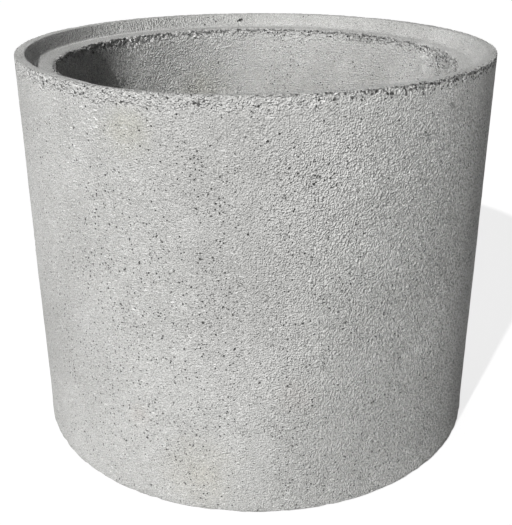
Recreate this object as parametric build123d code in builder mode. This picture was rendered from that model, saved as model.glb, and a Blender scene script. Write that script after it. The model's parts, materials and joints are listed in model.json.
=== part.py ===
"""Concrete culvert ring: one cast piece, rebated at its upper end, standing on its plain foot.

The origin is the middle of the foot, on the floor, and +Z is the axis of the ring. Sizes are in millimetres.
"""

import os

from build123d import *

# Driving dimensions of the barrel
bore_diameter = 1000.0
wall_thickness = 100.0
ring_height = 1000.0

# Driving dimensions of the rebate, the seat cut round the bore at the upper end
rebate_depth = 35.0  # from the rim down to the ledge
ledge_width = 50.0  # level seat, from the bore out to the foot of the lip
lip_thickness = 28.0  # top of the lip, which leans back from the ledge

# Radii that the mould and handling leave on the corners
rim_rounding = 4.0  # both corners of the lip's top
ledge_rounding = 5.0  # where the ledge meets the bore
ledge_hollow = 6.0  # where the lip rises from the ledge
foot_rounding = 5.0  # both corners of the foot

# Radii and levels that follow from them
bore_radius = bore_diameter / 2
outer_radius = bore_radius + wall_thickness
lip_root_radius = bore_radius + ledge_width
lip_top_radius = outer_radius - lip_thickness
ledge_level = ring_height - rebate_depth


def corners_at(section, radius, level):
    """Corners of a section that lie at a radius from the axis and a level above the floor."""
    place = Vector(radius, level)
    return section.vertices().filter_by(lambda corner: (Vector(corner) - place).length < 1e-3)


with BuildPart() as culvert_ring:
    with BuildSketch(Plane.XZ) as wall_section:
        with BuildLine():
            Polyline(
                (bore_radius, 0),
                (outer_radius, 0),
                (outer_radius, ring_height),
                (lip_top_radius, ring_height),
                (lip_root_radius, ledge_level),
                (bore_radius, ledge_level),
                close=True,
            )
        make_face()
        fillet(corners_at(wall_section, outer_radius, ring_height), radius=rim_rounding)
        fillet(corners_at(wall_section, lip_top_radius, ring_height), radius=rim_rounding)
        fillet(corners_at(wall_section, lip_root_radius, ledge_level), radius=ledge_hollow)
        fillet(corners_at(wall_section, bore_radius, ledge_level), radius=ledge_rounding)
        fillet(corners_at(wall_section, bore_radius, 0), radius=foot_rounding)
        fillet(corners_at(wall_section, outer_radius, 0), radius=foot_rounding)
    revolve(axis=Axis.Z)

culvert_ring.part.label = "culvert_ring"

os.makedirs("parts", exist_ok=True)
export_step(culvert_ring.part, "parts/culvert_ring.step")
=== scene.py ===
"""Looks of the concrete culvert ring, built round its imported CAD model.

The ring is one casting, so one closed mesh stands for it: a wall section that is turned about the axis, loosened into
an uneven skin, crumbled along its arrises and pricked with the air holes that the mould leaves. Lengths are in metres
in the frame of the CAD model: the origin is the middle of the foot and +Z runs up the axis to the rebated end.
"""
from __future__ import annotations

import json
import logging
import math
from dataclasses import dataclass
from enum import Enum
from typing import Callable, Iterable

import bmesh
import bpy
import numpy as np
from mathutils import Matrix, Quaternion, Vector, noise

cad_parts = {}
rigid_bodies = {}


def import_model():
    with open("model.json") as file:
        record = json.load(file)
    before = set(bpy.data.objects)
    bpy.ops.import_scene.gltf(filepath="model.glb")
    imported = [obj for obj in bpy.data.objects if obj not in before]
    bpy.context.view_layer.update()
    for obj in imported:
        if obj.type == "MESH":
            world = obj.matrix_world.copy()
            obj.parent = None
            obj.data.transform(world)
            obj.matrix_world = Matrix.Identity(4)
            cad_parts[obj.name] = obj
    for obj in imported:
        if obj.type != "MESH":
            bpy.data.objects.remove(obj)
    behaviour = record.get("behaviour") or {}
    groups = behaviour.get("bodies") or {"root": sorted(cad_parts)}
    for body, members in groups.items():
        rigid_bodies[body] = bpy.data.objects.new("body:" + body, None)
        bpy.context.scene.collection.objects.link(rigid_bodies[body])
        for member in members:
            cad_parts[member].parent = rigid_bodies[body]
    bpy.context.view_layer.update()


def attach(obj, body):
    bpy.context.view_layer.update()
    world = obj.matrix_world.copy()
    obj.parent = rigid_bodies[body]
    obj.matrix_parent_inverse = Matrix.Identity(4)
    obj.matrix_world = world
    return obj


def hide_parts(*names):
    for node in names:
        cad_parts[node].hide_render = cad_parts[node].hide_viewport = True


LOG = logging.getLogger("culvert_ring")
HELD = "held"  # the vertex group that a modifier acts on
AIR_HOLE = "air_hole"  # the attribute that says how deep in an air hole a vertex is, from 0 to 1
NEAR = 1e-4  # places this near to each other count as one
Places = np.ndarray
Colour = tuple[float, float, float]


class Pick(Enum):
    """What the edit-mode operators act on."""

    VERTICES = (True, False, False)
    EDGES = (False, True, False)
    FACES = (False, False, True)


# ---------------------------------------------------------------------------------------------------------------------
# Helpers for places on the ring
# ---------------------------------------------------------------------------------------------------------------------


def radius_of(places: Places) -> np.ndarray:
    """Distance of each place from the ring's axis."""
    return np.hypot(places[:, 0], places[:, 1])


def angle_of(places: Places) -> np.ndarray:
    """Polar angle of each place in degrees, from 0 to 360."""
    return np.degrees(np.arctan2(places[:, 1], places[:, 0])) % 360.0


def place_at(angle: float, radius: float, height: float) -> tuple[float, float, float]:
    """The place at this angle in degrees, distance from the axis and height."""
    turn = math.radians(angle)
    return (radius * math.cos(turn), radius * math.sin(turn), height)


def fade(values: np.ndarray, low: float, high: float) -> np.ndarray:
    """Smooth step.

    Args:
        values: What is graded.
        low: The value that gives 0.
        high: The value that gives 1. It may be lower than low.

    Returns:
        Numbers from 0 to 1.
    """
    t = np.clip((values - low) / (high - low), 0.0, 1.0)
    return t * t * (3.0 - 2.0 * t)


def between(values: np.ndarray, rise: tuple[float, float], fall: tuple[float, float]) -> np.ndarray:
    """Grades values from 0 up to 1 over the first range and down to 0 again over the second."""
    return fade(values, *rise) * fade(values, fall[1], fall[0])


def grain(places: Places, size: float, octaves: int, shift: float) -> np.ndarray:
    """Fractal noise in space.

    Args:
        places: Where the noise is read.
        size: Width of its largest lumps.
        octaves: How many finer layers it has.
        shift: Moves the pattern, so that two layers differ.

    Returns:
        Numbers round 0, mostly between -1 and 1.
    """
    offset = Vector((shift, 1.7 * shift, -shift))
    return np.array([noise.fractal(Vector(p) / size + offset, 1.0, 2.0, octaves) for p in places])


# ---------------------------------------------------------------------------------------------------------------------
# Mesh work
# ---------------------------------------------------------------------------------------------------------------------


class Blank:
    """A mesh that is shaped with edit-mode operators on what is selected by its place."""

    def __init__(self, obj: bpy.types.Object) -> None:
        """Wraps one mesh object."""
        self.obj = obj

    @property
    def mesh(self) -> bpy.types.Mesh:
        """The object's mesh."""
        return self.obj.data

    def places(self) -> Places:
        """Places of all vertices, in object mode."""
        bpy.ops.object.mode_set(mode="OBJECT")
        flat = np.empty(3 * len(self.mesh.vertices))
        self.mesh.vertices.foreach_get("co", flat)
        return flat.reshape(-1, 3)

    def put(self, places: Places) -> None:
        """Moves all vertices to the given places."""
        bpy.ops.object.mode_set(mode="OBJECT")
        self.mesh.vertices.foreach_set("co", places.astype(np.float32).ravel())
        self.mesh.update()

    def open_for(self, pick: Pick) -> bmesh.types.BMesh:
        """Goes to edit mode with nothing selected, and gives the mesh there."""
        bpy.ops.object.mode_set(mode="EDIT")
        bpy.context.tool_settings.mesh_select_mode = pick.value
        bpy.ops.mesh.select_all(action="DESELECT")
        return bmesh.from_edit_mesh(self.mesh)

    def pick_out(self, edit: bmesh.types.BMesh, elements: object, indices: Iterable[int]) -> None:
        """Selects the elements with these indices."""
        elements.ensure_lookup_table()
        for index in indices:
            elements[int(index)].select_set(True)
        edit.select_flush_mode()
        bmesh.update_edit_mesh(self.mesh)

    def select(self, pick: Pick, test: Callable[[Places], np.ndarray]) -> None:
        """Selects elements by their middle, in edit mode, and nothing else.

        Args:
            pick: Vertices, edges or faces.
            test: Says of an array of middles which ones are wanted.
        """
        edit = self.open_for(pick)
        if pick is Pick.VERTICES:
            elements, middles = edit.verts, [v.co[:] for v in edit.verts]
        elif pick is Pick.EDGES:
            elements, middles = edit.edges, [((e.verts[0].co + e.verts[1].co) / 2)[:] for e in edit.edges]
        else:
            elements, middles = edit.faces, [f.calc_center_median()[:] for f in edit.faces]
        self.pick_out(edit, elements, np.nonzero(test(np.array(middles)))[0])

    def select_round_edges(self, test: Callable[[Places], np.ndarray]) -> None:
        """Selects the edges that run round the axis, in edit mode, and nothing else.

        Args:
            test: Says of an array of middles which ones are wanted.
        """
        edit = self.open_for(Pick.EDGES)
        first = np.array([e.verts[0].co[:] for e in edit.edges])
        second = np.array([e.verts[1].co[:] for e in edit.edges])
        level = abs(first[:, 2] - second[:, 2]) < 0.1 * NEAR
        round_axis = level & (abs(radius_of(first) - radius_of(second)) < 0.1 * NEAR)
        self.pick_out(edit, edit.edges, np.nonzero(round_axis & test((first + second) / 2))[0])

    def select_vertices(self, indices: Iterable[int]) -> None:
        """Selects the vertices with these indices, in edit mode, and nothing else."""
        edit = self.open_for(Pick.VERTICES)
        self.pick_out(edit, edit.verts, indices)

    def set_order(self) -> None:
        """Builds the mesh again with its elements sorted by their places, and goes to edit mode.

        Bevel and subdivide leave them in another order each run, and the seeded draws go by that order.
        """
        bpy.ops.object.mode_set(mode="OBJECT")
        old, fresh = bmesh.new(), bmesh.new()
        old.from_mesh(self.mesh)
        layers = [(layer, fresh.verts.layers.float.new(name)) for name, layer in old.verts.layers.float.items()]
        number = {}
        for vertex in sorted(old.verts, key=lambda vertex: vertex.co[:]):
            number[vertex] = len(number)
            made = fresh.verts.new(vertex.co)
            for layer, new_layer in layers:
                made[new_layer] = vertex[layer]
            if vertex.select:
                made.select = True
        fresh.verts.ensure_lookup_table()
        edges = [(*sorted(number[vertex] for vertex in edge.verts), edge.select) for edge in old.edges]
        for first, second, chosen in sorted(edges):
            made = fresh.edges.new((fresh.verts[first], fresh.verts[second]))
            if chosen:
                made.select = True
        faces = []
        for face in old.faces:
            corners = [number[vertex] for vertex in face.verts]
            lowest = corners.index(min(corners))
            faces.append((corners[lowest:] + corners[:lowest], face.select))
        for corners, chosen in sorted(faces):
            made = fresh.faces.new([fresh.verts[corner] for corner in corners])
            if chosen:
                made.select = True
        fresh.to_mesh(self.mesh)
        old.free()
        fresh.free()
        bpy.ops.object.mode_set(mode="EDIT")

    def apply(self, kind: str, weights: np.ndarray, **settings: object) -> None:
        """Adds a modifier that acts on part of the mesh, and applies it.

        Args:
            kind: The modifier's type.
            weights: How strongly it acts on each vertex, from 0 to 1.
            settings: Its other properties.
        """
        bpy.ops.object.mode_set(mode="OBJECT")
        group = self.obj.vertex_groups.new(name=HELD)
        weights = np.clip(weights, 0.0, 1.0)
        for index in np.nonzero(weights > 0.004)[0]:
            group.add([int(index)], float(weights[index]), "REPLACE")
        modifier = self.obj.modifiers.new("shaping", kind)
        for name, value in settings.items():
            setattr(modifier, name, value)
        modifier.vertex_group = HELD
        bpy.ops.object.modifier_apply(modifier=modifier.name)
        self.obj.vertex_groups.clear()


def cloud(name: str, size: float, depth: int) -> bpy.types.Texture:
    """Makes a soft cloud texture for a Displace modifier.

    Args:
        name: Its name.
        size: Width of its largest lumps.
        depth: How many finer layers it has.

    Returns:
        The texture, from 0 to 1.
    """
    made = bpy.data.textures.new(name, "CLOUDS")
    made.noise_scale = size
    made.noise_depth = depth
    return made


@dataclass(frozen=True)
class AirHoles:
    """One size of the air holes that the mould leaves in a cast face."""

    radius: float
    rim_step: float  # how far the wall of the hole leans in
    depth: float
    count: int
    seed: int


@dataclass(frozen=True)
class LoneHole:
    """One air hole in a place of its own."""

    angle: float  # degrees round the ring
    from_axis: float
    height: float
    radius: float


@dataclass(frozen=True)
class Chip:
    """One place where an arris has lost a piece."""

    angle: float  # degrees round the ring
    radius: float
    height: float
    along: float  # half its length
    across: float  # half its width
    depth: float


@dataclass
class CastRing:
    """The ring: barrel, rebated lip, ledge and foot in one casting."""

    bore_radius: float = 0.5
    outer_radius: float = 0.5995  # half a millimetre inside the CAD ring, whose facets set its box
    lip_root_radius: float = 0.55
    lip_top_radius: float = 0.572
    ledge_level: float = 0.965
    height: float = 1.0
    rim_rounding: float = 0.0025
    ledge_rounding: float = 0.005
    ledge_hollow: float = 0.006
    foot_rounding: float = 0.005
    lip_wear: float = 0.0075  # how much lower the lip is at the front left
    rim_crumble: float = 0.0044  # how deep the crumbling goes
    edge_crumble: float = 0.0085
    foot_crumble: float = 0.0035
    steps: int = 240
    band_steps: int = 4  # the crumbled bands have this many times the steps
    rim_band: float = 0.948  # the outer wall is finer above this level
    edge_band: float = 0.925  # the bore is finer above this level
    cluster_angle: float = 252.0  # the side where the air holes crowd, in degrees
    cluster_size: float = 0.13
    cluster_shift: float = 0.0013  # how far the finer mesh of a cluster is shaken
    holes: tuple[AirHoles, ...] = (
        AirHoles(0.0037, 0.0012, 0.0042, 46, 11),
        AirHoles(0.0030, 0.0009, 0.0037, 210, 12),
        AirHoles(0.0025, 0.0, 0.0034, 800, 13),
        AirHoles(0.0018, 0.0, 0.0026, 1100, 14),
    )
    lone_holes: tuple[LoneHole, ...] = (
        LoneHole(95.0, 0.5600, 0.9810, 0.0044),
        LoneHole(102.8, 0.5600, 0.9800, 0.0030),
        LoneHole(168.1, 0.5450, 0.9650, 0.0032),
        LoneHole(148.0, 0.5300, 0.9650, 0.0020),
    )
    chips: tuple[Chip, ...] = (
        Chip(35.0, 0.5, 0.965, 0.030, 0.012, 0.006),
        Chip(8.0, 0.5, 0.928, 0.060, 0.030, 0.006),
        Chip(-4.0, 0.5, 0.950, 0.030, 0.016, 0.005),
        Chip(120.0, 0.5, 0.965, 0.026, 0.011, 0.006),
        Chip(161.0, 0.5, 0.965, 0.030, 0.012, 0.005),
        Chip(215.0, 0.5, 0.965, 0.022, 0.010, 0.005),
        Chip(262.0, 0.5, 0.965, 0.026, 0.010, 0.006),
        Chip(305.0, 0.5, 0.965, 0.024, 0.012, 0.006),
        Chip(302.0, 0.6, 1.000, 0.018, 0.010, 0.004),
        Chip(311.0, 0.6, 1.000, 0.014, 0.008, 0.004),
        Chip(232.0, 0.6, 0.996, 0.026, 0.014, 0.003),
        Chip(55.0, 0.6, 1.000, 0.020, 0.009, 0.004),
        Chip(150.0, 0.6, 1.000, 0.016, 0.008, 0.004),
        Chip(40.0, 0.6, 0.000, 0.030, 0.014, 0.006),
        Chip(195.0, 0.6, 0.000, 0.024, 0.012, 0.005),
    )
    name: str = "cast_ring"

    def build(self) -> bpy.types.Object:
        """Makes the whole casting.

        Returns:
            The finished object, at the origin.
        """
        blank = self.turn(self.draw_section())
        self.refine_bands(blank)
        self.loosen(blank)
        self.refine_clusters(blank)
        self.wave(blank)
        self.crumble(blank)
        self.prick(blank)
        self.keep_in_box(blank)
        return self.finish(blank)

    def draw_section(self) -> Blank:
        """Draws the outline of the wall section in the XZ plane.

        Returns:
            The outline, as edges only.
        """
        wall = self.outer_radius - self.bore_radius
        middle = self.bore_radius + wall / 2
        bpy.ops.object.select_all(action="DESELECT")
        bpy.ops.mesh.primitive_plane_add(
            size=1.0, location=(middle, 0, self.ledge_level / 2), rotation=(math.pi / 2, 0, 0)
        )
        section = Blank(bpy.context.active_object)
        section.obj.name = section.mesh.name = self.name
        section.obj.scale = (wall, self.ledge_level, 1)
        bpy.ops.object.transform_apply(location=True, rotation=True, scale=True)
        # The lip grows from the outer half of the top edge, and leans back.
        section.select(Pick.EDGES, lambda p: p[:, 2] > self.ledge_level - NEAR)
        bpy.ops.mesh.subdivide(number_cuts=1)
        self.pick_corner(section, middle, self.ledge_level)
        bpy.ops.transform.translate(value=(self.lip_root_radius - middle, 0, 0))
        section.select(Pick.EDGES, lambda p: (p[:, 2] > self.ledge_level - NEAR) & (p[:, 0] > self.lip_root_radius))
        bpy.ops.mesh.extrude_edges_move(TRANSFORM_OT_translate={"value": (0, 0, self.height - self.ledge_level)})
        self.pick_corner(section, self.lip_root_radius, self.height)
        bpy.ops.transform.translate(value=(self.lip_top_radius - self.lip_root_radius, 0, 0))
        section.select(Pick.FACES, lambda p: p[:, 0] > 0)
        bpy.ops.mesh.dissolve_faces()
        self.pick_corner(section, self.outer_radius, self.ledge_level)
        bpy.ops.mesh.dissolve_verts()
        for radius, level, rounding in (
            (self.bore_radius, 0.0, self.foot_rounding),
            (self.outer_radius, 0.0, self.foot_rounding),
            (self.outer_radius, self.height, self.rim_rounding),
            (self.lip_top_radius, self.height, self.rim_rounding),
            (self.lip_root_radius, self.ledge_level, self.ledge_hollow),
            (self.bore_radius, self.ledge_level, self.ledge_rounding),
        ):
            self.pick_corner(section, radius, level)
            bpy.ops.mesh.bevel(affect="VERTICES", offset_type="OFFSET", offset=rounding, segments=2, profile=0.5)
        section.select(Pick.FACES, lambda p: p[:, 0] > 0)
        bpy.ops.mesh.delete(type="ONLY_FACE")
        section.set_order()
        return section

    def pick_corner(self, section: Blank, radius: float, level: float) -> None:
        """Selects the corner of the section at this radius and level."""
        section.select(Pick.VERTICES, lambda p: (abs(p[:, 0] - radius) < NEAR) & (abs(p[:, 2] - level) < NEAR))

    def turn(self, section: Blank) -> Blank:
        """Cuts the section's edges into rows and turns it about the axis.

        Args:
            section: The outline of the wall.

        Returns:
            The closed ring.
        """
        outer, bore = self.outer_radius - NEAR, self.bore_radius + NEAR
        lip_middle = (self.lip_top_radius + self.lip_root_radius) / 2
        rim_middle = (self.lip_top_radius + self.outer_radius) / 2
        seat_middle = (self.bore_radius + self.lip_root_radius) / 2
        foot_middle = (self.bore_radius + self.outer_radius) / 2
        rows = (  # the edges of the section, and how many times each is cut
            (lambda p: p[:, 0] > outer, 56),
            (lambda p: (p[:, 0] > outer) & (p[:, 2] > self.rim_band), 3),
            (lambda p: (p[:, 0] < bore), 45),
            (lambda p: (p[:, 0] < bore) & (p[:, 2] > self.edge_band), 4),
            (lambda p: (p[:, 2] > self.height - NEAR) & (abs(p[:, 0] - rim_middle) < 0.006), 3),
            (lambda p: (abs(p[:, 0] - lip_middle) < 0.004) & (p[:, 2] > self.ledge_level), 3),
            (lambda p: (abs(p[:, 2] - self.ledge_level) < NEAR) & (abs(p[:, 0] - seat_middle) < 0.01), 3),
            (lambda p: (abs(p[:, 2] - self.ledge_level) < NEAR) & (p[:, 0] < self.bore_radius + 0.014), 1),
            (lambda p: (p[:, 2] < NEAR) & (abs(p[:, 0] - foot_middle) < 0.01), 4),
        )
        for test, cuts in rows:
            section.select(Pick.EDGES, test)
            bpy.ops.mesh.subdivide(number_cuts=cuts)
        bpy.ops.mesh.select_all(action="SELECT")
        bpy.ops.mesh.spin(steps=self.steps, angle=2 * math.pi, center=(0, 0, 0), axis=(0, 0, 1), use_auto_merge=True)
        bpy.ops.mesh.select_all(action="SELECT")
        bpy.ops.mesh.remove_doubles(threshold=0.1 * NEAR)
        bpy.ops.mesh.normals_make_consistent(inside=False)
        section.set_order()
        return section

    def refine_bands(self, blank: Blank) -> None:
        """Divides the steps of the turning again along the two arrises that crumble."""
        blank.select_round_edges(lambda p: self.at_rim(p) | self.at_bore_edge(p))
        bpy.ops.mesh.subdivide(number_cuts=self.band_steps - 1, ngon=False)
        blank.set_order()

    def refine_clusters(self, blank: Blank) -> None:
        """Makes the mesh finer where air holes crowd and where the bore is torn."""
        blank.select(Pick.FACES, lambda p: self.crowded(p) | self.torn(p))
        bpy.ops.mesh.subdivide(number_cuts=1, ngon=False)
        blank.set_order()
        for seed, radius in ((31, self.outer_radius), (32, self.bore_radius)):
            self.scatter(blank, lambda p: self.crowded(p) | self.torn(p), radius, self.cluster_shift, seed)

    def crowded(self, p: Places) -> np.ndarray:
        """Which places are where the air holes crowd."""
        radius, angle, level = radius_of(p), angle_of(p), p[:, 2]
        lumps = self.clusters(p)
        outer = (radius > 0.597) & (level > 0.05) & (level < self.rim_band - 0.01)
        bore = (radius < 0.502) & (level > 0.45) & (level < self.edge_band - 0.01)
        front = abs(angle - self.cluster_angle) < 55.0
        return (outer & (lumps > np.where(front, -0.02, 0.34))) | (bore & (lumps > 0.42))

    def clusters(self, p: Places) -> np.ndarray:
        """How much the air holes crowd at each place, round 0."""
        return grain(p, self.cluster_size, 2, 2.0)

    def torn(self, p: Places) -> np.ndarray:
        """Which places of the bore are by its torn patch."""
        turned = (angle_of(p) + 180.0) % 360.0 - 180.0
        return (radius_of(p) < 0.502) & (abs(turned - 6.0) < 9.5) & (p[:, 2] > 0.875) & (p[:, 2] < self.edge_band)

    def scatter(
        self, blank: Blank, wanted: Callable[[Places], np.ndarray], radius: float, offset: float, seed: int
    ) -> None:
        """Shifts vertices at random along a round wall.

        Args:
            blank: The ring.
            wanted: Says which places of the wall shift.
            radius: The wall's radius, which they keep.
            offset: How far they shift at most.
            seed: Fixes the draw.
        """

        def on_wall(p: Places) -> np.ndarray:
            """Which places are on the wall and shift."""
            return (abs(radius_of(p) - radius) < 2 * NEAR) & wanted(p)

        held = on_wall(blank.places())
        blank.select(Pick.VERTICES, on_wall)
        bpy.ops.transform.vertex_random(offset=offset, uniform=1.0, normal=0.0, seed=seed)
        blank.apply(
            "CAST", held, cast_type="CYLINDER", factor=1.0, use_z=False, use_radius_as_size=False, size=radius
        )

    def at_rim(self, p: Places) -> np.ndarray:
        """Which places are on the rim's top or just below it outside."""
        return (radius_of(p) > self.lip_top_radius - 0.001) & (p[:, 2] > self.rim_band)

    def at_bore_edge(self, p: Places) -> np.ndarray:
        """Which places are on the bore's upper edge or just below it."""
        return (radius_of(p) < self.bore_radius + 0.012) & (p[:, 2] > self.edge_band)

    def loosen(self, blank: Blank) -> None:
        """Shifts the vertices along the walls, so that no grid shows."""
        for seed, (radius, low, high, offset) in enumerate(
            (
                (self.outer_radius, 0.02, self.rim_band - 0.006, 0.0050),
                (self.outer_radius, self.rim_band + 0.006, 0.990, 0.0011),
                (self.bore_radius, 0.02, self.edge_band - 0.006, 0.0050),
                (self.bore_radius, self.edge_band + 0.006, 0.955, 0.0010),
            ),
            start=21,
        ):
            self.scatter(blank, lambda p: (p[:, 2] > low) & (p[:, 2] < high), radius, offset, seed)

    def wave(self, blank: Blank) -> None:
        """Gives the walls the slight waves of a worn mould."""
        places = blank.places()
        walls = fade(places[:, 2], 0.0, 0.05)
        for size, depth, strength in ((0.42, 1, 0.0016), (0.12, 2, 0.0012), (0.035, 1, 0.0008)):
            blank.apply(
                "DISPLACE", walls, texture=cloud(f"wall_waves_{size}", size, depth), texture_coords="LOCAL",
                direction="NORMAL", mid_level=0.0, strength=-strength,
            )

    def crumble(self, blank: Blank) -> None:
        """Wears the arrises of the rim, the bore's edge and the foot away, always into the concrete."""
        places = blank.places()
        radius, angle, level = radius_of(places), angle_of(places), places[:, 2]
        fine, coarse, slow = grain(places, 0.0075, 1, 3.0), grain(places, 0.018, 2, 8.0), grain(places, 0.16, 2, 5.0)
        front = fade(abs(angle - 265.0), 95.0, 40.0)
        # The outer arris of the rim, and the coarse honeycomb below it, which is widest at the front left.
        to_rim = np.hypot(radius - self.outer_radius, level - self.height)
        arris = fade(to_rim, 0.014, 0.002) * np.clip(0.35 + 2.4 * fine + 0.6 * coarse, 0.0, 1.0)
        wide = between(angle, (195.0, 215.0), (268.0, 292.0))
        right = between(angle, (284.0, 300.0), (344.0, 356.0))
        foot_of_band = 0.978 - 0.026 * wide - 0.008 * coarse + 0.003 * right
        band = np.clip((level - foot_of_band) / 0.010, 0.0, 1.0) * (radius > 0.59) * np.clip(2.6 * fine + 0.4, 0.0, 1.0)
        band *= 1.0 - (1.0 - wide) * fade(level, 0.9965, 0.9995)
        rim = arris * (0.2 + 0.6 * front * (0.25 + 0.75 * wide)) + (0.55 + 0.55 * right) * band * (0.2 + 0.8 * front)
        # The bore's edge, which crumbles deeply all round.
        to_edge = np.hypot(radius - self.bore_radius, level - self.ledge_level)
        low_edge = fade(to_edge, 0.020, 0.003) * np.clip(0.40 + 2.8 * fine + 0.9 * coarse, 0.0, 1.0)
        foot_of_skin = 0.938 - 0.014 * slow - 0.010 * coarse
        crumbs = np.clip(3.0 * fine + 0.4, 0.0, 1.0)
        skin = np.clip((level - foot_of_skin) / 0.010, 0.0, 1.0) * (radius < 0.503) * crumbs
        edge = low_edge + 0.6 * skin
        to_foot = np.minimum(np.hypot(radius - self.outer_radius, level), np.hypot(radius - self.bore_radius, level))
        foot = fade(to_foot, 0.018, 0.003) * np.clip(0.1 + 0.9 * coarse + 0.4 * slow, 0.0, 1.0)
        for weights, depth in ((rim, self.rim_crumble), (edge, self.edge_crumble), (foot, self.foot_crumble)):
            blank.apply("DISPLACE", weights, direction="NORMAL", mid_level=0.0, strength=-depth)
        self.wear_lip(blank)
        for chip in self.chips:
            self.knock_off(blank, chip)

    def wear_lip(self, blank: Blank) -> None:
        """Wears the lip lower at the front left, most at its inner arris."""
        places = blank.places()
        radius, angle, level = radius_of(places), angle_of(places), places[:, 2]
        stretch = 0.38 * between(angle, (190.0, 202.0), (266.0, 292.0))
        stretch += 0.62 * between(angle, (226.0, 238.0), (250.0, 272.0))
        slope = (0.4 + 0.6 * fade(radius, 0.599, 0.575)) * fade(level, 0.972, 0.999)
        uneven = 1.0 + 0.15 * grain(places, 0.05, 2, 6.0)
        weights = np.where((radius > 0.552) & (level > 0.972), stretch * slope * uneven, 0.0)
        blank.apply("DISPLACE", weights, direction="Z", mid_level=0.0, strength=-self.lip_wear)

    def knock_off(self, blank: Blank, chip: Chip) -> None:
        """Takes one chip off an arris, with a rough break."""
        places = blank.places()
        tangent = np.array(place_at(chip.angle + 90.0, 1.0, 0.0))
        offset = places - np.array(place_at(chip.angle, chip.radius, chip.height))
        along = offset @ tangent
        across = np.linalg.norm(offset - np.outer(along, tangent), axis=1)
        reach = np.hypot(along / chip.along, across / chip.across)
        near = np.nonzero(reach < 1.3)[0]
        weights = np.zeros(len(places))
        weights[near] = fade(reach[near] + 0.35 * grain(places[near], 0.009, 2, chip.angle), 1.1, 0.5)
        blank.apply("DISPLACE", weights, direction="NORMAL", mid_level=0.0, strength=-chip.depth)

    def hole_chance(self, places: Places) -> np.ndarray:
        """How likely an air hole is at each place, from 0 to 1."""
        radius, angle, level = radius_of(places), angle_of(places), places[:, 2]
        outer = (radius > 0.59) & (level > 0.02) & (level < 0.990)
        bore = (radius < 0.506) & (level > 0.02) & (level < 0.955)
        clusters = np.clip(0.35 + 1.6 * self.clusters(places), 0.04, 1.0)
        on_outer = clusters * (0.45 + 0.55 * fade(abs(angle - self.cluster_angle), 75.0, 40.0))
        on_outer *= 0.35 + 0.65 * fade(level, 0.02, 0.20)
        on_outer *= 0.35 + 0.65 * fade(level, 0.93, 0.84)
        honeycomb = fade(level, 0.948, 0.960) * between(angle, (195.0, 215.0), (265.0, 292.0))
        on_outer = np.maximum(on_outer * fade(level, self.rim_band + 0.008, self.rim_band - 0.004), 0.12 * honeycomb)
        on_outer = np.maximum(on_outer, 0.05)
        return np.where(outer, on_outer, np.where(bore, 0.45 * clusters, 0.0))

    def prick(self, blank: Blank) -> None:
        """Pricks the air holes into the cast faces, the widest first."""
        blank.mesh.attributes.new(AIR_HOLE, "FLOAT", "POINT")
        for holes in self.holes:
            places = blank.places()
            chance = self.hole_chance(places)
            draw = np.random.default_rng(holes.seed)
            order = draw.permutation(len(places))
            order = order[draw.random(len(places)) < chance[order]]
            self.prick_size(blank, holes, order)
        for hole in self.lone_holes:
            self.prick_one(blank, hole)
        blank.set_order()

    def prick_size(self, blank: Blank, holes: AirHoles, order: np.ndarray) -> None:
        """Pricks the holes of one size.

        Args:
            blank: The ring.
            holes: Their size.
            order: Vertices that may be centres, in the order of the draw.
        """
        edit = blank.open_for(Pick.VERTICES)
        edit.verts.ensure_lookup_table()
        mark = edit.verts.layers.float[AIR_HOLE]
        centres: set[int] = set()
        for index in order:
            if len(centres) >= holes.count:
                break
            vertex = edit.verts[int(index)]
            if vertex[mark] > 0.0 or min(edge.calc_length() for edge in vertex.link_edges) < 1.3 * holes.radius:
                continue
            if any(edge.other_vert(vertex).index in centres for edge in vertex.link_edges):
                continue
            centres.add(vertex.index)
        blank.select_vertices(sorted(centres))
        bpy.ops.mesh.bevel(affect="VERTICES", offset_type="OFFSET", offset=holes.radius, segments=2, profile=0.12)
        blank.set_order()
        bpy.ops.transform.vertex_random(offset=0.22 * holes.radius, uniform=1.0, normal=0.0, seed=holes.seed)
        self.sink(blank, holes.rim_step, holes.depth)

    def prick_one(self, blank: Blank, hole: LoneHole) -> None:
        """Moves the nearest vertex to a place and pricks one hole there."""
        places = blank.places()
        place = np.array(place_at(hole.angle, hole.from_axis, hole.height))
        nearest = int(np.argmin(np.linalg.norm(places - place, axis=1)))
        blank.select_vertices([nearest])
        bpy.ops.transform.translate(value=tuple(place - places[nearest]))
        bpy.ops.mesh.bevel(affect="VERTICES", offset_type="OFFSET", offset=hole.radius, segments=2, profile=0.12)
        self.sink(blank, 0.3 * hole.radius, hole.radius)

    def sink(self, blank: Blank, step: float, depth: float) -> None:
        """Sinks the selected discs into the concrete and marks them as holes.

        Args:
            blank: The ring.
            step: How far the wall of a hole leans in before its bottom, or 0 for a plain cone.
            depth: How deep the holes are.
        """
        blank.mesh.attributes.active = blank.mesh.attributes[AIR_HOLE]
        bpy.ops.mesh.attribute_set(value_float=0.001)
        if step:
            bpy.ops.mesh.inset(thickness=step, depth=-0.6 * depth, use_even_offset=False)
            bpy.ops.mesh.attribute_set(value_float=0.8)
            bpy.ops.mesh.select_less()
            bpy.ops.transform.shrink_fatten(value=-0.4 * depth)
        else:
            bpy.ops.mesh.select_less()
            bpy.ops.transform.shrink_fatten(value=-depth)
        bpy.ops.mesh.attribute_set(value_float=1.0)

    def keep_in_box(self, blank: Blank) -> None:
        """Brings back what the shaping pushed past the mould's faces, so that the CAD sizes hold."""
        places = blank.places()
        radius = radius_of(places)
        limit = np.where(radius > self.outer_radius, self.outer_radius / radius, 1.0)
        wall = places[:, 2] < self.ledge_level - self.ledge_rounding
        limit = np.where(wall & (radius < self.bore_radius), self.bore_radius / radius, limit)
        places[:, 0] *= limit
        places[:, 1] *= limit
        places[:, 2] = np.clip(places[:, 2], 0.0, self.height)
        blank.put(places)

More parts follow.
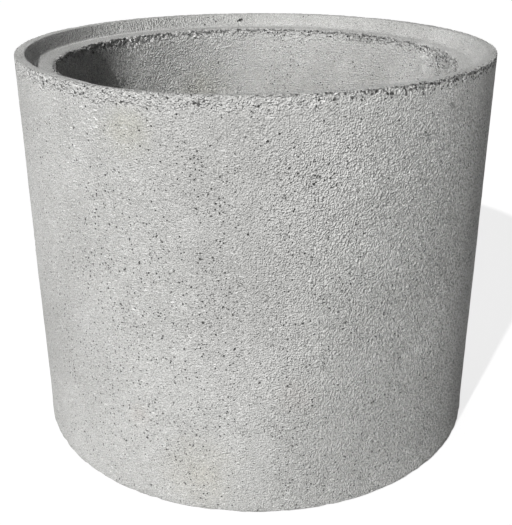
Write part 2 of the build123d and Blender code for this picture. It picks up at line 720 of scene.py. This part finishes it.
    def finish(self, blank: Blank) -> bpy.types.Object:
        """Shades the mesh.

        Args:
            blank: The shaped ring.

        Returns:
            Its object.
        """
        bpy.ops.object.mode_set(mode="OBJECT")
        bpy.ops.object.shade_smooth_by_angle(angle=math.radians(50))
        mesh = blank.mesh
        edit = bmesh.new()
        edit.from_mesh(mesh)
        open_edges = sum(not edge.is_manifold for edge in edit.edges)
        edit.free()
        triangles = sum(len(polygon.vertices) - 2 for polygon in mesh.polygons)
        LOG.info("%s: %d triangles, %d open edges", self.name, triangles, open_edges)
        return blank.obj


# ---------------------------------------------------------------------------------------------------------------------
# Materials
# ---------------------------------------------------------------------------------------------------------------------

Socket = bpy.types.NodeSocket


class Sheet:
    """A node tree that is filled node by node."""

    def __init__(self, tree: bpy.types.NodeTree) -> None:
        """Wraps a tree and empties it."""
        self.tree = tree
        tree.nodes.clear()

    def add(self, kind: str, inputs: dict[str | int, object] | None = None, **settings: object) -> bpy.types.Node:
        """Adds a node.

        Args:
            kind: The node's type.
            inputs: What its inputs get: a socket is linked and a value is set.
            settings: The node's other properties.

        Returns:
            The node.
        """
        node = self.tree.nodes.new(kind)
        for name, value in settings.items():
            setattr(node, name, value)
        for name, value in (inputs or {}).items():
            if isinstance(value, Socket):
                self.tree.links.new(value, node.inputs[name])
            else:
                node.inputs[name].default_value = value
        return node

    def sum(self, operation: str, first: object, second: object = 0.0, third: object = 0.0) -> Socket:
        """Adds a Math node and returns its value."""
        return self.add("ShaderNodeMath", {0: first, 1: second, 2: third}, operation=operation).outputs[0]

    def product(self, *values: object) -> Socket:
        """Multiplies two or more values."""
        result = values[0]
        for value in values[1:]:
            result = self.sum("MULTIPLY", result, value)
        return result

    def fade(self, value: object, low: object, high: object, to_low: float = 0.0, to_high: float = 1.0) -> Socket:
        """Grades a value smoothly from to_low, at low, to to_high, at high."""
        return self.add(
            "ShaderNodeMapRange",
            {"Value": value, "From Min": low, "From Max": high, "To Min": to_low, "To Max": to_high},
            interpolation_type="SMOOTHSTEP",
        ).outputs[0]

    def noise(self, vector: Socket, size: float, detail: float, roughness: float = 0.5) -> Socket:
        """Adds a noise whose lumps are about this wide, from 0 to 1."""
        return self.add(
            "ShaderNodeTexNoise",
            {"Vector": vector, "Scale": 1.0 / size, "Detail": detail, "Roughness": roughness},
        ).outputs["Fac"]

    def shift(self, vector: Socket, x: float, y: float, z: float) -> Socket:
        """Moves a pattern."""
        return self.add("ShaderNodeVectorMath", {0: vector, 1: (x, y, z)}, operation="ADD").outputs[0]

    def along(self, vector: Socket, direction: tuple[float, float, float]) -> Socket:
        """Measures how far a vector points in a direction."""
        return self.add("ShaderNodeVectorMath", {0: vector, 1: direction}, operation="DOT_PRODUCT").outputs["Value"]

    def seen_directly(self) -> Socket:
        """Gives 1 for camera, glossy and transmission rays, to which the background shows as white."""
        path = self.add("ShaderNodeLightPath")
        direct = self.sum("ADD", path.outputs["Is Camera Ray"], path.outputs["Is Glossy Ray"])
        return self.sum("ADD", direct, path.outputs["Is Transmission Ray"])

    def blend(self, factor: object, first: object, second: object) -> Socket:
        """Mixes two colours.

        Args:
            factor: How much of the second colour shows.
            first: A colour or a socket.
            second: A colour or a socket.

        Returns:
            The mixed colour.
        """
        node = self.add("ShaderNodeMix", data_type="RGBA", clamp_factor=True)
        for index, value in ((0, factor), (6, first), (7, second)):
            if isinstance(value, Socket):
                self.tree.links.new(value, node.inputs[index])
            elif index == 0:
                node.inputs[index].default_value = value
            else:
                node.inputs[index].default_value = (*value, 1.0)
        return node.outputs[2]


def new_group(name: str, inputs: dict[str, float | None]) -> tuple[Sheet, object, bpy.types.Node]:
    """Starts a shader node group that puts out one mask.

    Args:
        name: The group's name.
        inputs: Names of its inputs and their values, None for a vector.

    Returns:
        Its sheet, its input node's outputs and its output node.
    """
    tree = bpy.data.node_groups.new(name, "ShaderNodeTree")
    for label, value in inputs.items():
        kind = "NodeSocketVector" if value is None else "NodeSocketFloat"
        made = tree.interface.new_socket(name=label, in_out="INPUT", socket_type=kind)
        if value is not None:
            made.default_value = value
    tree.interface.new_socket(name="Mask", in_out="OUTPUT", socket_type="NodeSocketFloat")
    sheet = Sheet(tree)
    entry = tree.nodes.new("NodeGroupInput")
    return sheet, entry.outputs, tree.nodes.new("NodeGroupOutput")


def specks_group() -> bpy.types.NodeTree:
    """Makes the group that scatters small round specks through space.

    Returns:
        A group with Vector, Scale, Share and Size, which puts out Mask.
    """
    sheet, given, leave = new_group("specks", {"Vector": None, "Scale": 100.0, "Share": 0.3, "Size": 0.2})
    cells = sheet.add(
        "ShaderNodeTexVoronoi", {"Vector": given["Vector"], "Scale": given["Scale"], "Randomness": 1.0}
    )
    parts = sheet.add("ShaderNodeSeparateColor", {"Color": cells.outputs["Color"]})
    present = sheet.sum("LESS_THAN", parts.outputs[0], given["Share"])
    size = sheet.product(given["Size"], sheet.sum("MULTIPLY_ADD", parts.outputs[1], 0.7, 0.45))
    spot = sheet.fade(cells.outputs["Distance"], size, sheet.product(size, 0.75))
    sheet.tree.links.new(sheet.product(present, spot), leave.inputs["Mask"])
    return sheet.tree


def patches_group() -> bpy.types.NodeTree:
    """Makes the group that lays soft patches over a surface.

    Returns:
        A group with Vector, Scale, Low and High, which puts out Mask.
    """
    sheet, given, leave = new_group("patches", {"Vector": None, "Scale": 4.0, "Low": 0.5, "High": 0.7})
    lumps = sheet.add(
        "ShaderNodeTexNoise",
        {"Vector": given["Vector"], "Scale": given["Scale"], "Detail": 5.0, "Roughness": 0.55, "Distortion": 0.3},
    )
    graded = sheet.fade(lumps.outputs["Fac"], given["Low"], given["High"])
    sheet.tree.links.new(graded, leave.inputs["Mask"])
    return sheet.tree


@dataclass(frozen=True)
class Stain:
    """One faint patch of another tint on the concrete."""

    angle: float  # degrees round the ring
    radius: float
    height: float
    reach: float
    tint: Colour
    strength: float


class SkinSheet(Sheet):
    """The concrete's node tree, with its coordinates and node groups."""

    def __init__(self, tree: bpy.types.NodeTree) -> None:
        """Starts the tree."""
        super().__init__(tree)
        self.coordinates = self.add("ShaderNodeTexCoord").outputs["Object"]
        self.specks, self.patches = specks_group(), patches_group()

    def spots(self, shift: float, scale: float, share: object, size: float) -> Socket:
        """Scatters specks.

        Args:
            shift: Moves the pattern.
            scale: Cells to the metre.
            share: How many of the cells hold a speck.
            size: A speck's radius in cells.

        Returns:
            Their mask.
        """
        place = self.shift(self.coordinates, shift, -shift, shift)
        inputs = {"Vector": place, "Scale": scale, "Share": share, "Size": size}
        return self.add("ShaderNodeGroup", inputs, node_tree=self.specks).outputs["Mask"]

    def areas(self, shift: float, scale: float, low: float, high: float) -> Socket:
        """Lays soft patches.

        Args:
            shift: Moves the pattern.
            scale: How many lumps go to the metre.
            low: The level of the noise where a patch starts.
            high: The level from which it is full.

        Returns:
            Their mask.
        """
        place = self.shift(self.coordinates, shift, shift, -shift)
        inputs = {"Vector": place, "Scale": scale, "Low": low, "High": high}
        return self.add("ShaderNodeGroup", inputs, node_tree=self.patches).outputs["Mask"]

    def distance(self, stain: Stain) -> Socket:
        """Measures how far a place is from a stain's middle."""
        middle = place_at(stain.angle, stain.radius, stain.height)
        return self.add(
            "ShaderNodeVectorMath", {0: self.coordinates, 1: middle}, operation="DISTANCE"
        ).outputs["Value"]

    def stain_mask(self, stain: Stain) -> Socket:
        """Grades one stain from its middle outwards, with an uneven edge."""
        rough = self.noise(self.coordinates, 0.06, 3.0, 0.6)
        away = self.sum("MULTIPLY_ADD", rough, stain.reach, self.distance(stain))
        return self.fade(away, 1.35 * stain.reach, 0.35 * stain.reach, 0.0, stain.strength)


@dataclass(frozen=True)
class Zones:
    """Masks of the casting's parts, from 0 to 1, and the coordinates that they go by."""

    across: Socket  # X, which runs to the right in the photograph
    level: Socket  # Z
    outside: Socket
    in_bore: Socket
    rim_band: Socket  # crumbled, under the rim
    edge_band: Socket  # crumbled, along the bore's edge
    patch: Socket  # torn, at the right of the bore
    torn: Socket  # these three together
    struck: Socket  # rim, lip and seat, which were struck off smooth
    lip_face: Socket  # the lip's inner side
    coarse: Socket  # how coarse the skin is
    right_wall: Socket
    right_rim: Socket  # the rim's outer arris at the right


@dataclass(frozen=True)
class Speck:
    """One kind of hole or crumb that is too fine for the mesh."""

    mask: Socket
    cover: float  # how much of its tint shows
    tint: Colour
    rise: float  # how far it stands out, in hole depths: below 0 for a hole


@dataclass(frozen=True)
class CastConcrete:
    """Bare cast concrete: matt, sandy and patchy, with small air holes, and with some light and shade painted into its
    colour.
    """

    pale: Colour = (0.610, 0.610, 0.600)
    dark: Colour = (0.498, 0.498, 0.488)
    lime: Colour = (0.86, 0.86, 0.85)
    # painted shade: the near-black of the air holes, mostly standing for the shade inside them, partly dust
    hole_shade: Colour = (0.06, 0.06, 0.057)
    seat_gain: float = -0.07  # how much lighter the struck faces of rim and seat are
    painted_seat_light: float = 0.50  # painted light: how much lighter the seat is at the left, on top
    painted_bore_shade: float = 0.55  # painted shade: how much darker the bore is at the left, where the key light does not reach
    painted_lip_shade: float = 0.42  # painted shade: how much darker the lip's inner side is there, where it faces away from the key light
    bore_gain: float = 0.07  # how much lighter the bore is
    coarse_painted_light: float = 0.47  # painted light: how much lighter the coarser parts are, making up for the shade of their deeper bumps
    painted_right_light: float = 0.10  # painted light: how much lighter the wall is at the right, where it turns from the key light, on top
    seat_coarse: float = 0.10  # how coarse rim and seat are
    coarse_mottle: float = 0.9  # how much paler the coarser grains are than the pits between
    right_mottle: float = 0.8  # how much stronger that is at the right
    sand_size: float = 0.0024
    sand_contrast: float = 0.32
    grit_size: float = 0.0035
    grit_depth: float = 0.0036
    grit_extra: float = 0.0125  # where the casting is coarser, on top
    lump_size: float = 0.0062
    lump_depth: float = 0.0012
    lump_extra: float = 0.015
    struck_smooth: float = 0.25  # how much shallower all relief is on the struck faces
    right_relief: float = 0.4  # how much deeper it is at the right
    torn_grit: float = 0.0055  # in the crumbled bands, on top
    torn_lumps: float = 0.0095
    rim_lime: float = 0.60  # how limy the crumbled band under the rim is
    lime_share: float = 0.05
    lime_size: float = 0.24
    hole_share_low: float = 0.20
    hole_share_high: float = 0.66
    hole_size: float = 0.27
    hole_depth: float = 0.0016
    roughness: tuple[float, float] = (0.88, 0.96)
    scuff_level: float = 0.68
    scuff_gain: float = 0.10  # how much that level falls where scuffs crowd
    scuffs: tuple[Stain, ...] = (
        Stain(235.9, 0.6, 0.927, 0.075, (1.0, 1.0, 1.0), 1.0),
        Stain(231.0, 0.6, 0.850, 0.045, (1.0, 1.0, 1.0), 0.9),
        Stain(246.5, 0.6, 0.640, 0.040, (1.0, 1.0, 1.0), 0.9),
        Stain(243.4, 0.6, 0.505, 0.055, (1.0, 1.0, 1.0), 1.0),
        Stain(226.0, 0.6, 0.300, 0.050, (1.0, 1.0, 1.0), 0.7),
        Stain(280.5, 0.6, 0.978, 0.012, (1.0, 1.0, 1.0), 1.6),
    )
    stains: tuple[Stain, ...] = (
        Stain(244.0, 0.6, 0.915, 0.10, (0.50, 0.49, 0.41), 0.5),
        Stain(257.0, 0.6, 0.10, 0.16, (0.52, 0.50, 0.44), 0.5),
        Stain(228.0, 0.6, 0.42, 0.16, (0.60, 0.60, 0.60), 0.4),
        Stain(110.0, 0.5, 0.78, 0.14, (0.50, 0.49, 0.43), 0.45),
        Stain(243.0, 0.6, 0.23, 0.05, (0.56, 0.50, 0.46), 0.4),
        Stain(278.0, 0.6, 0.32, 0.08, (0.56, 0.51, 0.48), 0.3),
        Stain(267.0, 0.6, 0.60, 0.38, (0.45, 0.45, 0.44), 0.78),
        Stain(254.0, 0.6, 0.82, 0.17, (0.45, 0.45, 0.44), 0.50),
        Stain(277.0, 0.6, 0.25, 0.20, (0.45, 0.45, 0.44), 0.50),
        Stain(320.0, 0.6, 0.95, 0.14, (0.43, 0.43, 0.42), 0.45),
        Stain(238.0, 0.6, 0.55, 0.20, (0.68, 0.68, 0.67), 0.40),
        Stain(20.0, 0.5, 0.86, 0.36, (0.74, 0.74, 0.73), 0.75),
        Stain(21.5, 0.5, 0.935, 0.024, (0.95, 0.95, 0.94), 1.00),
        Stain(20.8, 0.5, 0.900, 0.022, (0.95, 0.95, 0.94), 0.90),
    )
    # Painted shade in the lip's two lone holes, with pale flecks beside them.
    marks: tuple[Stain, ...] = (
        Stain(95.7, 0.5588, 0.9785, 0.0042, (0.05, 0.05, 0.05), 0.9),
        Stain(95.1, 0.5600, 0.9812, 0.0050, (0.04, 0.04, 0.04), 1.0),
        Stain(94.5, 0.5618, 0.9840, 0.0046, (0.05, 0.05, 0.05), 0.9),
        Stain(95.3, 0.5580, 0.9750, 0.0040, (0.86, 0.86, 0.85), 0.8),
        Stain(102.9, 0.5594, 0.9795, 0.0042, (0.10, 0.10, 0.10), 0.7),
        Stain(102.3, 0.5624, 0.9850, 0.0036, (0.20, 0.20, 0.20), 0.6),
    )
    patch: Stain = Stain(10.0, 0.5, 0.930, 0.105, (1.0, 1.0, 1.0), 1.0)  # where the bore is torn

    def material(self) -> bpy.types.Material:
        """Builds the material.

        Returns:
            The finished material, which reads Object coordinates and the attribute air_hole.
        """
        made = bpy.data.materials.new("cast_concrete")
        made.use_nodes = True
        sheet = SkinSheet(made.node_tree)
        zones = self.zones(sheet)
        slow = sheet.areas(1.3, 3.2, 0.32, 0.68)
        grit = sheet.sum("SUBTRACT", sheet.noise(sheet.coordinates, self.grit_size, 0.0), 0.5)
        lumps = sheet.sum("SUBTRACT", sheet.noise(sheet.coordinates, self.lump_size, 0.0), 0.5)
        specks = self.specks(sheet, zones)
        grey = self.grey(sheet, zones, grit, lumps)
        colour = self.fleck(sheet, zones, specks, self.tint(sheet, zones, slow, grey))
        height = self.relief(sheet, zones, specks, grit, lumps)
        bump = sheet.add("ShaderNodeBump", {"Height": height, "Strength": 1.0, "Distance": 1.0})
        matt = sheet.fade(slow, 0.0, 1.0, *self.roughness)
        shader = sheet.add(
            "ShaderNodeBsdfPrincipled",
            {"Base Color": colour, "Roughness": matt, "Normal": bump.outputs[0], "Specular IOR Level": 0.3},
        )
        sheet.add("ShaderNodeOutputMaterial", {"Surface": shader.outputs[0]})
        return made

    def zones(self, sheet: SkinSheet) -> Zones:
        """Lays out the masks of the casting's parts.

        Args:
            sheet: The material's node tree.

        Returns:
            The masks.
        """
        place = sheet.add("ShaderNodeSeparateXYZ", {0: sheet.coordinates})
        across, level = place.outputs["X"], place.outputs["Z"]
        flat = sheet.add("ShaderNodeCombineXYZ", {"X": across, "Y": place.outputs["Y"]}).outputs[0]
        radius = sheet.add("ShaderNodeVectorMath", {0: flat}, operation="LENGTH").outputs["Value"]
        outside = sheet.fade(radius, 0.585, 0.595)
        in_bore = sheet.fade(radius, 0.512, 0.508)
        # The crumbled bands have ragged feet, and the one under the rim is widest at the front left.
        ragged = sheet.sum("MULTIPLY_ADD", sheet.noise(sheet.coordinates, 0.022, 3.0, 0.7), 0.060, -0.030)
        narrow = sheet.sum("MAXIMUM", sheet.fade(across, -0.05, 0.25), sheet.fade(place.outputs["Y"], -0.25, -0.05))
        band_foot = sheet.sum("ADD", sheet.sum("MULTIPLY_ADD", narrow, 0.026, 0.955), ragged)
        below_top = sheet.fade(radius, 0.5940, 0.5975)
        rim_band = sheet.product(sheet.fade(level, band_foot, sheet.sum("ADD", band_foot, 0.020)), below_top)
        skin_foot = sheet.sum("ADD", ragged, 0.930)
        edge_band = sheet.product(sheet.fade(level, skin_foot, sheet.sum("ADD", skin_foot, 0.018)), in_bore)
        patch = sheet.product(sheet.stain_mask(self.patch), in_bore)
        struck = sheet.product(
            sheet.fade(level, 0.9635, 0.9655), sheet.fade(radius, 0.510, 0.518), sheet.fade(radius, 0.596, 0.590)
        )
        lip_face = sheet.product(struck, sheet.fade(level, 0.9655, 0.9700), sheet.fade(radius, 0.5735, 0.5715))
        # The skin is coarser to the right outside, and to the left in the bore and on the lip.
        coarse = sheet.sum(
            "ADD",
            sheet.product(sheet.fade(across, -0.10, 0.58), outside, sheet.fade(level, 0.97, 0.87, 0.3, 1.0)),
            sheet.product(sheet.fade(across, 0.05, -0.40, 0.15, 1.00), in_bore),
        )
        coarse = sheet.sum("MULTIPLY_ADD", lip_face, sheet.fade(across, 0.15, -0.30, 0.10, 0.60), coarse)
        coarse = sheet.sum("MULTIPLY_ADD", struck, self.seat_coarse, coarse)
        right_rim = sheet.product(
            sheet.fade(across, 0.05, 0.30), outside, sheet.fade(level, 0.972, 0.982), sheet.fade(level, 0.9995, 0.9970)
        )
        return Zones(
            across=across,
            level=level,
            outside=outside,
            in_bore=in_bore,
            rim_band=rim_band,
            edge_band=edge_band,
            patch=patch,
            torn=sheet.sum("MAXIMUM", sheet.sum("MAXIMUM", rim_band, edge_band), patch),
            struck=struck,
            lip_face=lip_face,
            coarse=coarse,
            right_wall=sheet.product(sheet.fade(across, 0.22, 0.50), outside),
            right_rim=right_rim,
        )

    def specks(self, sheet: SkinSheet, zones: Zones) -> tuple[Speck, ...]:
        """Scatters the holes, dark with painted shade, and the crumbs that are too fine for the mesh.

        Args:
            sheet: The material's node tree.
            zones: Masks of the casting's parts.

        Returns:
            Their kinds, the lowest layer first.
        """
        share = sheet.fade(sheet.areas(3.3, 6.0, 0.35, 0.65), 0.0, 1.0, self.hole_share_low, self.hole_share_high)
        share = sheet.product(share, sheet.sum("MULTIPLY_ADD", zones.coarse, -0.65, 1.0))
        share = sheet.product(share, sheet.fade(zones.level, 0.94, 0.80, 0.3, 1.0))
        share = sheet.sum("MULTIPLY_ADD", zones.torn, 0.20, share)
        ragged = sheet.sum("MULTIPLY_ADD", zones.patch, 0.3, zones.right_rim)
        crumb_share = sheet.product(sheet.sum("MAXIMUM", zones.right_rim, zones.patch), 0.75)
        torn_share = sheet.sum("MULTIPLY_ADD", ragged, 0.9, sheet.product(zones.torn, 0.36))
        rim_share = sheet.product(zones.right_rim, 0.85)
        # The dark specks are fine holes with painted shade in them; the pale ones are lime crumbs.
        return (
            Speck(sheet.spots(5.9, 120.0, share, self.hole_size), 0.95, self.hole_shade, -1.0),
            Speck(sheet.spots(8.2, 190.0, sheet.product(share, 0.6), self.hole_size), 0.85, self.hole_shade, -0.5),
            Speck(sheet.spots(14.9, 100.0, crumb_share, 0.34), 0.9, self.lime, 1.5),
            Speck(sheet.spots(11.3, 95.0, torn_share, 0.36), 0.85, self.hole_shade, -1.5),
            Speck(sheet.spots(16.3, 135.0, rim_share, 0.46), 0.85, self.hole_shade, -1.5),
        )

    def grey(self, sheet: SkinSheet, zones: Zones, grit: Socket, lumps: Socket) -> Socket:
        """Grades how light the skin is: sand, grains, then the gain or loss of each part, with painted shade and
        painted light among them.

        Args:
            sheet: The material's node tree.
            zones: Masks of the casting's parts.
            grit: The finer grains, from -0.5 to 0.5.
            lumps: The coarser ones.

        Returns:
            A factor round 1.
        """
        sand = sheet.noise(sheet.coordinates, self.sand_size, 1.0, 0.5)
        grey = sheet.fade(sand, 0.25, 0.75, 1.0 - self.sand_contrast, 1.0 + self.sand_contrast)
        uneven = sheet.product(sheet.sum("MULTIPLY_ADD", lumps, 0.5, grit), zones.coarse, self.coarse_mottle)
        uneven = sheet.product(uneven, sheet.sum("MULTIPLY_ADD", zones.right_wall, self.right_mottle, 1.0))
        grey = sheet.product(grey, sheet.sum("ADD", uneven, 1.0))
        # Painted shade on the bore's shaded left side and on the lip's inner side there; painted light on the seat
        # there.
        bore_shade_area = sheet.product(zones.in_bore, sheet.fade(zones.across, -0.35, -0.45))
        seat_light_area = sheet.product(
            zones.struck, sheet.fade(zones.level, 0.9664, 0.9652), sheet.fade(zones.across, 0.0, -0.45)
        )
        lip_shade_area = sheet.product(zones.lip_face, sheet.fade(zones.across, -0.40, -0.52))
        # The struck faces and the bore differ in tone; the coarse parts and the wall's right side get painted light.
        for mask, gain in (
            (zones.struck, self.seat_gain),
            (bore_shade_area, -self.painted_bore_shade),
            (seat_light_area, self.painted_seat_light),
            (lip_shade_area, -self.painted_lip_shade),
            (zones.in_bore, self.bore_gain),
            (zones.coarse, self.coarse_painted_light),
            (zones.right_wall, self.painted_right_light),
        ):
            grey = sheet.product(grey, sheet.sum("MULTIPLY_ADD", mask, gain, 1.0))
        return grey

    def tint(self, sheet: SkinSheet, zones: Zones, slow: Socket, grey: Socket) -> Socket:
        """Colours the skin: slow patches, mottle, stains and lime, all times the grey.

        Args:
            sheet: The material's node tree.
            zones: Masks of the casting's parts.
            slow: The slow patches.
            grey: How light the skin is.

        Returns:
            The colour.
        """
        mottle = sheet.noise(sheet.coordinates, 0.035, 4.0, 0.6)
        colour = sheet.blend(slow, self.dark, self.pale)
        colour = sheet.blend(sheet.fade(mottle, 0.3, 0.7, 0.35, 0.0), colour, self.dark)
        for stain in self.stains:
            colour = sheet.blend(sheet.stain_mask(stain), colour, stain.tint)
        worn = sheet.sum("MULTIPLY_ADD", sheet.areas(4.1, 9.0, 0.40, 0.58), 0.35, 0.15)
        for mask, share in ((zones.rim_band, self.rim_lime), (zones.edge_band, worn)):
            colour = sheet.blend(sheet.product(mask, share), colour, self.lime)
        return sheet.add("ShaderNodeVectorMath", {0: colour, 1: grey}, operation="MULTIPLY").outputs[0]

    def fleck(self, sheet: SkinSheet, zones: Zones, specks: tuple[Speck, ...], colour: Socket) -> Socket:
        """Lays lime, scuffs, specks, the painted shade of the air holes and the marks at the lip's lone holes over the
        skin's colour.

        Args:
            sheet: The material's node tree.
            zones: Masks of the casting's parts.
            specks: The holes and crumbs that are too fine for the mesh.
            colour: The skin's colour.

        Returns:
            The finished colour.
        """
        lime_share = sheet.sum("MULTIPLY_ADD", zones.torn, 0.6, self.lime_share)
        lime_spots = sheet.spots(2.7, 140.0, lime_share, self.lime_size)
        colour = sheet.blend(sheet.product(lime_spots, 0.9), colour, self.lime)
        colour = sheet.blend(self.scuff_mask(sheet, zones), colour, self.lime)
        for speck in specks:
            colour = sheet.blend(sheet.product(speck.mask, speck.cover), colour, speck.tint)
        # Painted shade: the mesh's air holes are darkened towards their bottoms.
        hole = sheet.add("ShaderNodeAttribute", attribute_name=AIR_HOLE).outputs["Fac"]
        colour = sheet.blend(sheet.fade(hole, 0.05, 0.45, 0.0, 0.88), colour, self.hole_shade)
        for mark in self.marks:
            dot = sheet.fade(sheet.distance(mark), 1.1 * mark.reach, 0.7 * mark.reach, 0.0, mark.strength)
            colour = sheet.blend(dot, colour, mark.tint)
        return colour

    def relief(
        self, sheet: SkinSheet, zones: Zones, specks: tuple[Speck, ...], grit: Socket, lumps: Socket
    ) -> Socket:
        """Gives the skin's height: grit, coarser lumps, and the finest holes and crumbs.

        Args:
            sheet: The material's node tree.
            zones: Masks of the casting's parts.
            specks: The holes and crumbs that are too fine for the mesh.
            grit: The finer grains, from -0.5 to 0.5.
            lumps: The coarser ones.

        Returns:
            The height in metres.
        """
        grit_depth = sheet.sum("MULTIPLY_ADD", zones.coarse, self.grit_extra, self.grit_depth)
        grit_depth = sheet.sum("MULTIPLY_ADD", zones.torn, self.torn_grit, grit_depth)
        coarsest = sheet.product(zones.coarse, zones.coarse)
        lump_depth = sheet.sum("MULTIPLY_ADD", coarsest, self.lump_extra, self.lump_depth)
        lump_depth = sheet.sum("MULTIPLY_ADD", zones.torn, self.torn_lumps, lump_depth)
        depth = sheet.product(
            sheet.sum("MULTIPLY_ADD", zones.struck, -self.struck_smooth, 1.0),
            sheet.fade(zones.across, 0.15, 0.50, 1.0, 1.0 + self.right_relief),
        )
        height = sheet.sum("ADD", sheet.product(grit, grit_depth, depth), sheet.product(lumps, lump_depth, depth))
        for speck in specks:
            height = sheet.sum("MULTIPLY_ADD", speck.mask, speck.rise * self.hole_depth, height)
        return height

    def scuff_mask(self, sheet: SkinSheet, zones: Zones) -> Socket:
        """Draws short pale scuffs, a little off the level, thickest in a few places of the outer wall."""
        turned = sheet.add(
            "ShaderNodeMapping",
            {"Vector": sheet.coordinates, "Rotation": (0.0, 0.45, 0.0), "Scale": (85.0, 85.0, 380.0)},
        ).outputs[0]
        lines = sheet.add("ShaderNodeTexNoise", {"Vector": turned, "Scale": 1.0, "Detail": 1.0}).outputs["Fac"]
        lines = sheet.sum("MULTIPLY_ADD", sheet.areas(7.7, 5.0, 0.48, 0.60), 0.015, lines)
        for scuff in self.scuffs:
            lines = sheet.sum("MULTIPLY_ADD", sheet.stain_mask(scuff), self.scuff_gain, lines)
        return sheet.product(sheet.fade(lines, self.scuff_level, self.scuff_level + 0.05), zones.outside)


@dataclass(frozen=True)
class StudioFloor:
    """Plain pale floor that shows almost white and keeps the ring's shadow."""

    bounce: Colour = (0.45, 0.45, 0.447)
    seen: Colour = (0.30, 0.30, 0.30)
    glow: float = 0.79

    def material(self) -> bpy.types.Material:
        """Builds the material.

        Returns:
            The finished material.
        """
        made = bpy.data.materials.new("studio_floor")
        made.use_nodes = True
        sheet = Sheet(made.node_tree)
        bounce = sheet.add("ShaderNodeBsdfDiffuse", {"Color": (*self.bounce, 1.0)})
        seen = sheet.add("ShaderNodeBsdfDiffuse", {"Color": (*self.seen, 1.0)})
        glow = sheet.add("ShaderNodeEmission", {"Color": (1.0, 1.0, 1.0, 1.0), "Strength": self.glow})
        lit = sheet.add("ShaderNodeAddShader", {0: seen.outputs[0], 1: glow.outputs[0]})
        mixed = sheet.add("ShaderNodeMixShader", {0: sheet.seen_directly(), 1: bounce.outputs[0], 2: lit.outputs[0]})
        sheet.add("ShaderNodeOutputMaterial", {"Surface": mixed.outputs[0]})
        return made


# ---------------------------------------------------------------------------------------------------------------------
# Studio
# ---------------------------------------------------------------------------------------------------------------------


@dataclass
class Studio:
    """Floor, light and camera round the ring."""

    floor_half: float = 45.0
    floor_level: float = -0.0005
    light_direction: tuple[float, float, float] = (-0.375, -0.705, 0.602)
    light_strength: float = 3.05
    light_spread: float = 1.1  # degrees
    sky_low: Colour = (0.60, 0.605, 0.615)  # near the horizon
    sky_high: Colour = (0.020, 0.021, 0.022)  # overhead
    far_side: tuple[float, float, float] = (0.8, 0.6, 0.0)  # where the soft light is weaker
    far_loss: float = 0.90
    behind: tuple[float, float, float] = (-0.35, 0.937, 0.0)  # where a soft fill lights the back
    fill: Colour = (2.10, 2.10, 2.12)
    ahead: tuple[float, float, float] = (0.24, -0.971, 0.0)  # where a fainter one lights the front
    front_fill: Colour = (0.80, 0.80, 0.81)
    camera_place: tuple[float, float, float] = (0.0, -2.210, 1.350)
    camera_down: float = 23.53  # degrees below the level
    camera_roll: float = -0.002
    lens: float = 58.19

    def build(self) -> None:
        """Makes the floor, the lamp, the world and the camera."""
        self.lay_floor()
        self.hang_light()
        self.light_world()
        self.set_camera()

    def lay_floor(self) -> None:
        """Lays the floor that the ring stands on."""
        bpy.ops.object.select_all(action="DESELECT")
        bpy.ops.mesh.primitive_plane_add(size=2 * self.floor_half, location=(0, 0, self.floor_level))
        floor = bpy.context.active_object
        floor.name = "studio_floor"
        floor.data.materials.append(StudioFloor().material())
        LOG.info("studio_floor laid")

    def hang_light(self) -> None:
        """Hangs the key light, soft and from the front left."""
        lamp = bpy.data.lights.new("key_light", "SUN")
        lamp.energy = self.light_strength
        lamp.angle = math.radians(self.light_spread)
        lamp.color = (1.0, 0.995, 0.985)
        holder = bpy.data.objects.new("key_light", lamp)
        holder.rotation_euler = Vector(self.light_direction).to_track_quat("Z", "Y").to_euler()
        bpy.context.scene.collection.objects.link(holder)

    def light_world(self) -> None:
        """Gives the world a soft light from low down, which shows as white."""
        world = bpy.data.worlds.new("studio_world")
        world.use_nodes = True
        sheet = Sheet(world.node_tree)
        towards = sheet.add("ShaderNodeTexCoord").outputs["Generated"]
        height = sheet.add("ShaderNodeSeparateXYZ", {0: towards}).outputs["Z"]
        sky = sheet.blend(sheet.fade(height, 0.05, 0.60), self.sky_low, self.sky_high)
        aside = sheet.fade(sheet.along(towards, self.far_side), 0.1, 0.8, 0.0, self.far_loss)
        sky = sheet.blend(aside, sky, (0.0, 0.0, 0.0))
        for side, tint in ((self.behind, self.fill), (self.ahead, self.front_fill)):
            low = sheet.fade(height, 0.60, 0.20)
            sky = sheet.blend(sheet.product(sheet.fade(sheet.along(towards, side), 0.35, 0.85), low), sky, tint)
        colour = sheet.blend(sheet.seen_directly(), sky, (1.0, 1.0, 1.0))
        background = sheet.add("ShaderNodeBackground", {"Color": colour, "Strength": 1.0})
        sheet.add("ShaderNodeOutputWorld", {"Surface": background.outputs[0]})
        bpy.context.scene.world = world

    def set_camera(self) -> None:
        """Sets the camera where the photograph was taken from."""
        data = bpy.data.cameras.new("camera")
        data.lens = self.lens
        data.sensor_width = 36.0
        data.clip_end = 100.0
        camera = bpy.data.objects.new("camera", data)
        camera.location = self.camera_place
        tilt = Quaternion((1, 0, 0), math.radians(90.0 - self.camera_down))
        camera.rotation_euler = (tilt @ Quaternion((0, 0, 1), self.camera_roll)).to_euler()
        bpy.context.scene.collection.objects.link(camera)
        bpy.context.scene.camera = camera


def main() -> None:
    """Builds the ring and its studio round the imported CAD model."""
    logging.basicConfig(level=logging.INFO, format="%(name)s: %(message)s")
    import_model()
    bpy.context.scene.view_settings.view_transform = "Standard"
    ring = CastRing().build()
    ring.data.materials.append(CastConcrete().material())
    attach(ring, "root")
    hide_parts("culvert_ring")
    Studio().build()


if __name__ == "__main__":
    main()
